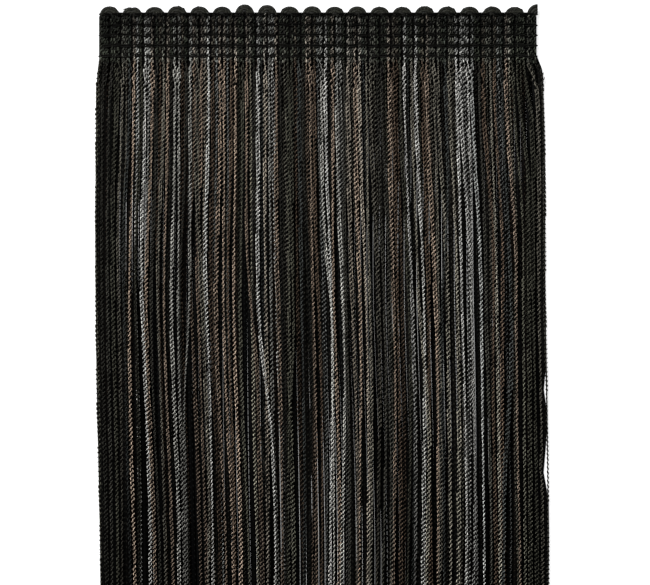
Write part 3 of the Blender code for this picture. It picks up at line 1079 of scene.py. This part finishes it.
def loop_yarns(loop):
    """The three U-shaped yarns of one loop."""
    left_middle = heading_left + (2 * loop + 0.5) * BUNDLE_PITCH
    right_middle = left_middle + BUNDLE_PITCH
    yarns = []
    for nest in range(YARNS_PER_BUNDLE):
        offset = (1 - nest) * YARN_PITCH
        places = straight_run(left_middle - offset, left_middle, True)
        places += loop_turn(loop, nest)
        places += straight_run(right_middle + offset, right_middle, False)
        spiral_start = rng.uniform(0.0, math.tau)
        first_yarn = 2 * YARNS_PER_BUNDLE * loop
        sides = [(yarn_dyes[first_yarn + nest], choose_pad_shades()),
                 (yarn_dyes[first_yarn + 2 * YARNS_PER_BUNDLE - 1 - nest], choose_pad_shades())]
        half = len(places) // 2
        yarn = []
        for step, (x, y) in enumerate(places):
            dye, pad_shades = sides[0] if step < half else sides[1]
            yarn.append(heading_station(x, y, nest, dye, spiral_start + SPIRAL_STEP * step, pad_shades))
        yarns.append(yarn)
    return yarns


weft_paths = [yarn for loop in range(BUNDLES // 2) for yarn in loop_yarns(loop)]
print("yarns that turn over a loop:", len(weft_paths))

# %% [markdown]
# ## The cut end
# At the right end the trimming is cut through half a loop. The last bundle has no partner: its yarns
# turn over a quarter circle and end at the cut, as plain cords.

# %% Lay out the cut yarns and knit the weft
CUT_RADII = (2.2 * MM, 1.45 * MM, 0.7 * MM)
CUT_END = 1.5 * MM
CUT_STEPS = 8
CUT_CAP = NEAR_END / 4
NO_LEGS = 2.0


def cut_yarn(nest, radius):
    """One yarn of the last bundle, up to the cut."""
    middle = heading_right - BUNDLE_PITCH / 2
    cut = middle + CUT_END
    places = straight_run(middle + (nest - 1) * YARN_PITCH, middle, True)
    run_length = len(places)
    for step in range(1, CUT_STEPS + 1):
        angle = math.pi / 2 * step / CUT_STEPS
        places.append((cut - radius * math.cos(angle), FIRST_ROW + radius * math.sin(angle)))
    places.append((cut + CUT_CAP, FIRST_ROW + radius))
    spiral_start = rng.uniform(0.0, math.tau)
    dye = yarn_dyes[ALL_YARNS - YARNS_PER_BUNDLE + nest]
    pad_shades = choose_pad_shades()
    yarn = [heading_station(x, y, nest, dye, spiral_start + SPIRAL_STEP * step, pad_shades)
            for step, (x, y) in enumerate(places)]
    for station in yarn[run_length:]:
        station["hidden_below"] = NO_LEGS
    return yarn


weft_paths += [cut_yarn(nest, radius) for nest, radius in enumerate(CUT_RADII)]
WEFT_YARN = {**FRONT_YARN, "Half Width": 0.52 * MM, "Half Thickness": 0.27 * MM, "Leg Width": 0.33 * MM,
             "Rail Length": 1.3 * MM, "Cross Length": 1.12 * MM, "Hidden Below": -0.2,
             "Core Shade": 0.03, "Shade Spread": 0.6, "Yarn": heading_yarn}
weft = run_tree("heading_weft", path_mesh("heading_weft", weft_paths), chainette, WEFT_YARN)

# %% [markdown]
# ## The rows of black chain stitch
# Five rows of fine black thread cross the bundles. Each row is a chain: one link over every bundle,
# and each link starts inside the last, down in the groove. The link is modelled once as a bent,
# drop-shaped ring, and the tree copies it to a point for each bundle and row with a slight twist.
# The thread is a little more worn from row to row down the heading.

# %% Model a link
LINK_LENGTH = 1.3 * BUNDLE_PITCH
LINK_WIDTH = 0.5 * MM
LINK_TAPER = 0.55
LINK_DROP = 1.15 * MM
LINK_STEPS = 14
THREAD = 0.4 * MM
THREAD_SIDES = 5
UP = Vector((0.0, 0.0, 1.0))


def chain_link():
    """A closed drop-shaped ring of thread, arched over one bundle, with its own UV map."""
    shape = bmesh.new()
    uv = shape.loops.layers.uv.new("OFBake")
    rings = []
    for step in range(LINK_STEPS):
        angle = math.tau * step / LINK_STEPS
        x = math.cos(angle) * LINK_LENGTH / 2
        y = math.sin(angle) * (1.0 - LINK_TAPER * math.cos(angle)) * LINK_WIDTH / 2
        middle = Vector((x, y, -LINK_DROP * (2 * x / LINK_LENGTH) ** 2))
        ahead = Vector((-math.sin(angle) * LINK_LENGTH, math.cos(angle) * LINK_WIDTH, 0.0)).normalized()
        side = ahead.cross(UP)
        turns = [math.tau * corner / THREAD_SIDES for corner in range(THREAD_SIDES)]
        rings.append([shape.verts.new(middle + (side * math.cos(turn) + UP * math.sin(turn)) * THREAD / 2)
                      for turn in turns])
    for step in range(LINK_STEPS):
        here = rings[step]
        ahead = rings[(step + 1) % LINK_STEPS]
        for corner in range(THREAD_SIDES):
            after = (corner + 1) % THREAD_SIDES
            face = shape.faces.new((here[corner], here[after], ahead[after], ahead[corner]))
            corners = ((corner, step), (corner + 1, step), (corner + 1, step + 1), (corner, step + 1))
            for loop, (across, up) in zip(face.loops, corners):
                loop[uv].uv = (across / THREAD_SIDES, up / LINK_STEPS)
    bmesh.ops.recalc_face_normals(shape, faces=shape.faces)
    return add_object("chain_link", finished_mesh("chain_link", shape))


link = chain_link()
print("faces of a link:", len(link.data.polygons))

# %% Build the tree of the rows
LINK_TWIST = math.radians(6)
LINK_SEED = 3
LINK_UV_SHARE = 0.96
chain_rows, asked = new_tree("chain_rows", [("Link", "Object"), ("Thread", "Material")])
link_shape = put(chain_rows, "GeometryNodeObjectInfo", {"Object": asked["Link"]}).outputs["Geometry"]
link_points = first(chain_rows, "GeometryNodeMeshToPoints", {"Mesh": asked["Geometry"]})
twist = first(chain_rows, "FunctionNodeRandomValue",
              {0: [-LINK_TWIST] * 3, 1: [LINK_TWIST] * 3, "Seed": LINK_SEED}, data_type="FLOAT_VECTOR")
twist = first(chain_rows, "FunctionNodeEulerToRotation", {0: twist})
links = first(chain_rows, "GeometryNodeInstanceOnPoints",
              {"Points": link_points, "Instance": link_shape, "Rotation": twist})
links = first(chain_rows, "GeometryNodeRealizeInstances", {"Geometry": links})
own_uv = parted(chain_rows, attribute(chain_rows, "OFBake", "FLOAT_VECTOR"))
link_u = number(chain_rows, "MULTIPLY_ADD",
                own_uv["X"], LINK_UV_SHARE / BUNDLES, attribute(chain_rows, "column"))
link_v = number(chain_rows, "MULTIPLY_ADD",
                own_uv["Y"], LINK_UV_SHARE / STITCH_ROWS, attribute(chain_rows, "row"))
links = store_uv(chain_rows, links, link_u, link_v)
links = first(chain_rows, "GeometryNodeSetMaterial", {"Geometry": links, "Material": asked["Thread"]})
put(chain_rows, "NodeGroupOutput", {0: links})
print("the tree of the rows has", len(chain_rows.nodes), "nodes")

# %% Stitch the rows
BLACK_THREAD = (0.0015, 0.0015, 0.0013)
LINK_TOP = 2.0 * MM
LEFT_END_SHIFT = 0.62 * MM
RIGHT_END_SHIFT = 0.36 * MM
ROW_WEAR = 0.5
ROW_UNEVEN = 0.12 * MM
ROW_WAVE = (2.6, 1.7)
LINK_UV_MARGIN = (1.0 - LINK_UV_SHARE) / 2
link_places = []
link_columns = []
link_rows = []
link_colours = []
for row in range(STITCH_ROWS):
    for bundle in range(BUNDLES):
        x = heading_left + (bundle + 0.5) * BUNDLE_PITCH
        x += LEFT_END_SHIFT * (bundle == 0) - RIGHT_END_SHIFT * (bundle == BUNDLES - 1)
        uneven = ROW_UNEVEN * math.sin(ROW_WAVE[0] * bundle + ROW_WAVE[1] * row) if row else 0.0
        link_places.append((x, FIRST_ROW - row * ROW_PITCH + uneven, LINK_TOP))
        link_columns.append((bundle + LINK_UV_MARGIN) / BUNDLES)
        link_rows.append((row + LINK_UV_MARGIN) / STITCH_ROWS)
    worn = [part * (1.0 + ROW_WEAR * row) for part in BLACK_THREAD]
    link_colours += [*worn, 1.0] * BUNDLES
link_mesh = bpy.data.meshes.new("heading_rows")
link_mesh.from_pydata(link_places, [], [])
fill(link_mesh, "column", link_columns)
fill(link_mesh, "row", link_rows)
fill(link_mesh, "tint", link_colours, "FLOAT_COLOR")
rows = run_tree("heading_rows", link_mesh, chain_rows, {"Link": link, "Thread": black_thread})

# %% [markdown]
# ## The ground of the heading
# Under the pads lies the body of the crochet, a dense black band that closes every gap between the
# bundles and reaches up into each loop. It is the fringe's one piece of cloth, so it is modelled as
# a thin closed sheet.

# %% Model the ground
GROUND_LOW = 0.15 * MM
GROUND_HIGH = 1.15 * MM
GROUND_RIB = 0.2 * MM
GROUND_MARGIN = 0.15 * MM
GROUND_COLUMNS = BUNDLES * 6
GROUND_LINES = STITCH_ROWS * 2
VALLEY_RISE = 0.75 * MM
CORNER = 1.2 * MM
LOOP_CORD = 0.45 * MM


def lobe_height(x):
    """How far the ground reaches up inside a loop, so that no light shows through it."""
    from_side = min(x - heading_left, heading_right - x)
    if from_side < CORNER:
        return -CORNER * (1.0 - from_side / CORNER)
    loop = int((x - heading_left) / (2 * BUNDLE_PITCH))
    across = (x - heading_left - (2 * loop + 1) * BUNDLE_PITCH) / (LOOP_HALF_WIDTHS[0] + LOOP_CORD / 2)
    if abs(across) >= 1.0 or loop >= BUNDLES // 2:
        return 0.0
    return (LOOP_RISES[0] + extra_rise(loop)) * math.sqrt(1.0 - across ** 2)


def ground_layer(shape, upper, size):
    """The points of the ground's upper or lower side, line by line, with ribs under the bundles."""
    points = []
    for line in range(GROUND_LINES + 1):
        row_points = []
        for column in range(GROUND_COLUMNS + 1):
            x = heading_left + GROUND_MARGIN + size[0] * column / GROUND_COLUMNS
            y = heading_foot + GROUND_MARGIN + (size[1] + lobe_height(x)) * line / GROUND_LINES
            rib = 0.5 - 0.5 * math.cos(math.tau * (x - heading_left) / BUNDLE_PITCH)
            z = GROUND_HIGH + GROUND_RIB * rib if upper else GROUND_LOW
            row_points.append(shape.verts.new((x, y, z)))
        points.append(row_points)
    return points


def ground_sheet(name, size):
    """A thin closed band with shallow ribs under the bundles."""
    shape = bmesh.new()
    upper = ground_layer(shape, True, size)
    lower = ground_layer(shape, False, size)
    for line in range(GROUND_LINES):
        for column in range(GROUND_COLUMNS):
            high, far = line + 1, column + 1
            shape.faces.new((upper[line][column], upper[line][far], upper[high][far], upper[high][column]))
            shape.faces.new((lower[line][column], lower[high][column], lower[high][far], lower[line][far]))
    around = [(0, column) for column in range(GROUND_COLUMNS)]
    around += [(line, GROUND_COLUMNS) for line in range(GROUND_LINES)]
    around += [(GROUND_LINES, column) for column in range(GROUND_COLUMNS, 0, -1)]
    around += [(line, 0) for line in range(GROUND_LINES, 0, -1)]
    for (line, column), (next_line, next_column) in zip(around, around[1:] + around[:1]):
        shape.faces.new((upper[line][column], lower[line][column],
                         lower[next_line][next_column], upper[next_line][next_column]))
    bmesh.ops.recalc_face_normals(shape, faces=shape.faces)
    mesh = finished_mesh(name, shape)
    fill(mesh, "tint", [*BLACK_THREAD, 1.0] * len(mesh.vertices), "FLOAT_COLOR")
    mesh.materials.append(black_thread)
    return add_object(name, mesh)


ground_size = (heading_right - heading_left - 2 * GROUND_MARGIN,
               HEADING_BODY + VALLEY_RISE - 2 * GROUND_MARGIN)
ground = ground_sheet("heading_ground", ground_size)
print("ground sheet in mm:", [round(side / MM, 2) for side in ground_size])

# %% [markdown]
# ## Fixing the pieces to the body
# Each new piece rides on the fringe's one body, and the solid that it covers is hidden.

for piece in (full_leg, plain_leg, link):
    bpy.data.objects.remove(piece)
for piece in (weft, rows, ground):
    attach(piece, "root")
    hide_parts("header")
for piece in front_pieces:
    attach(piece, "root")
    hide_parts("fringe_front")
for piece in back_pieces:
    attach(piece, "root")
    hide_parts("fringe_back")
print("declared pieces:", 3 + len(front_pieces) + len(back_pieces))

# %% [markdown]
# ## Floor, light and camera
# The fringe lies on a white ground, lit softly from the upper left and from all round, and the camera
# looks straight down through a long lens, so that both sides of every yarn show alike. Product shots
# are exposed until their ground is pure white, so the ground glows a little of its own. It has a low
# rim far away, which keeps the horizon pale when the fringe is looked at from the side.

# %% Set the table
FLOOR_HALF = 5.0
FLOOR_LEVEL = -0.1 * MM
RIM_HEIGHT = 0.6
TABLE_FINISH = {"Base Color": (0.3, 0.3, 0.3, 1.0), "Roughness": 0.9, "Specular IOR Level": 0.1,
                "Emission Color": (1.0, 1.0, 1.0, 1.0), "Emission Strength": 0.8}
floor_corners = ((-1, -1), (1, -1), (1, 1), (-1, 1))
floor_places = [(x * FLOOR_HALF, y * FLOOR_HALF, level)
                for level in (FLOOR_LEVEL, RIM_HEIGHT) for x, y in floor_corners]
rim_faces = [((side + 1) % 4, side, side + 4, (side + 1) % 4 + 4) for side in range(4)]
floor_mesh = bpy.data.meshes.new("table_top")
floor_mesh.from_pydata(floor_places, [], [(0, 1, 2, 3)] + rim_faces)
table_top = add_object("table_top", floor_mesh)
white = bpy.data.materials.new("white_table")
white.use_nodes = True
for socket, value in TABLE_FINISH.items():
    white.node_tree.nodes["Principled BSDF"].inputs[socket].default_value = value
floor_mesh.materials.append(white)
table_top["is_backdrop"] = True
print("the table is", 2 * FLOOR_HALF, "m wide, with a rim of", RIM_HEIGHT, "m")

# %% Light the table
WORLD_LIGHT = 0.28
SOFTBOX_SIZE = 0.45
SOFTBOX_POWER = 15.5
SOFTBOX_PLACE = (-0.3, 0.5, 0.63)
SOFTBOX_AIM = Vector((0.0, 0.02, 0.0))
world = bpy.data.worlds.new("studio")
bpy.context.scene.world = world
world.use_nodes = True
world.node_tree.nodes["Background"].inputs["Color"].default_value = (1.0, 1.0, 1.0, 1.0)
world.node_tree.nodes["Background"].inputs["Strength"].default_value = WORLD_LIGHT
softbox_data = bpy.data.lights.new("softbox", "AREA")
softbox_data.shape = "SQUARE"
softbox_data.size = SOFTBOX_SIZE
softbox_data.energy = SOFTBOX_POWER
softbox = add_object("softbox", softbox_data)
softbox.location = SOFTBOX_PLACE
softbox.rotation_euler = (SOFTBOX_AIM - softbox.location).to_track_quat("-Z", "Y").to_euler()
print("the softbox stands", round((SOFTBOX_AIM - softbox.location).length, 2), "m from the fringe")

# %% Place the camera
MM_PER_PIXEL = 0.25
PHOTO_WIDTH = 650
PHOTO_HEIGHT = 585
HEADING_LEFT_PIXEL = 98.6
HEADING_FOOT_PIXEL = 58.5
CAMERA_HEIGHT = 1.2
SENSOR = 36.0
aim_x = heading_left + (PHOTO_WIDTH / 2 - HEADING_LEFT_PIXEL) * MM_PER_PIXEL * MM
aim_y = heading_foot - (PHOTO_HEIGHT / 2 - HEADING_FOOT_PIXEL) * MM_PER_PIXEL * MM
camera_data = bpy.data.cameras.new("camera")
camera_data.sensor_width = SENSOR
camera_data.lens = SENSOR * CAMERA_HEIGHT / (PHOTO_WIDTH * MM_PER_PIXEL * MM)
camera_data.clip_start = 0.05
camera_data.clip_end = 10.0
camera = add_object("camera", camera_data)
camera.location = (aim_x, aim_y, CAMERA_HEIGHT)
bpy.context.scene.camera = camera
bpy.context.scene.view_settings.view_transform = "Standard"
print("lens in mm:", round(camera_data.lens, 1))

# %% Compare the sizes
import json

dressed_low, dressed_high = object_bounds()
growth = (dressed_high - dressed_low) - (cad_high - cad_low)
print("grown by, in mm:", [round(side / MM, 2) for side in growth])
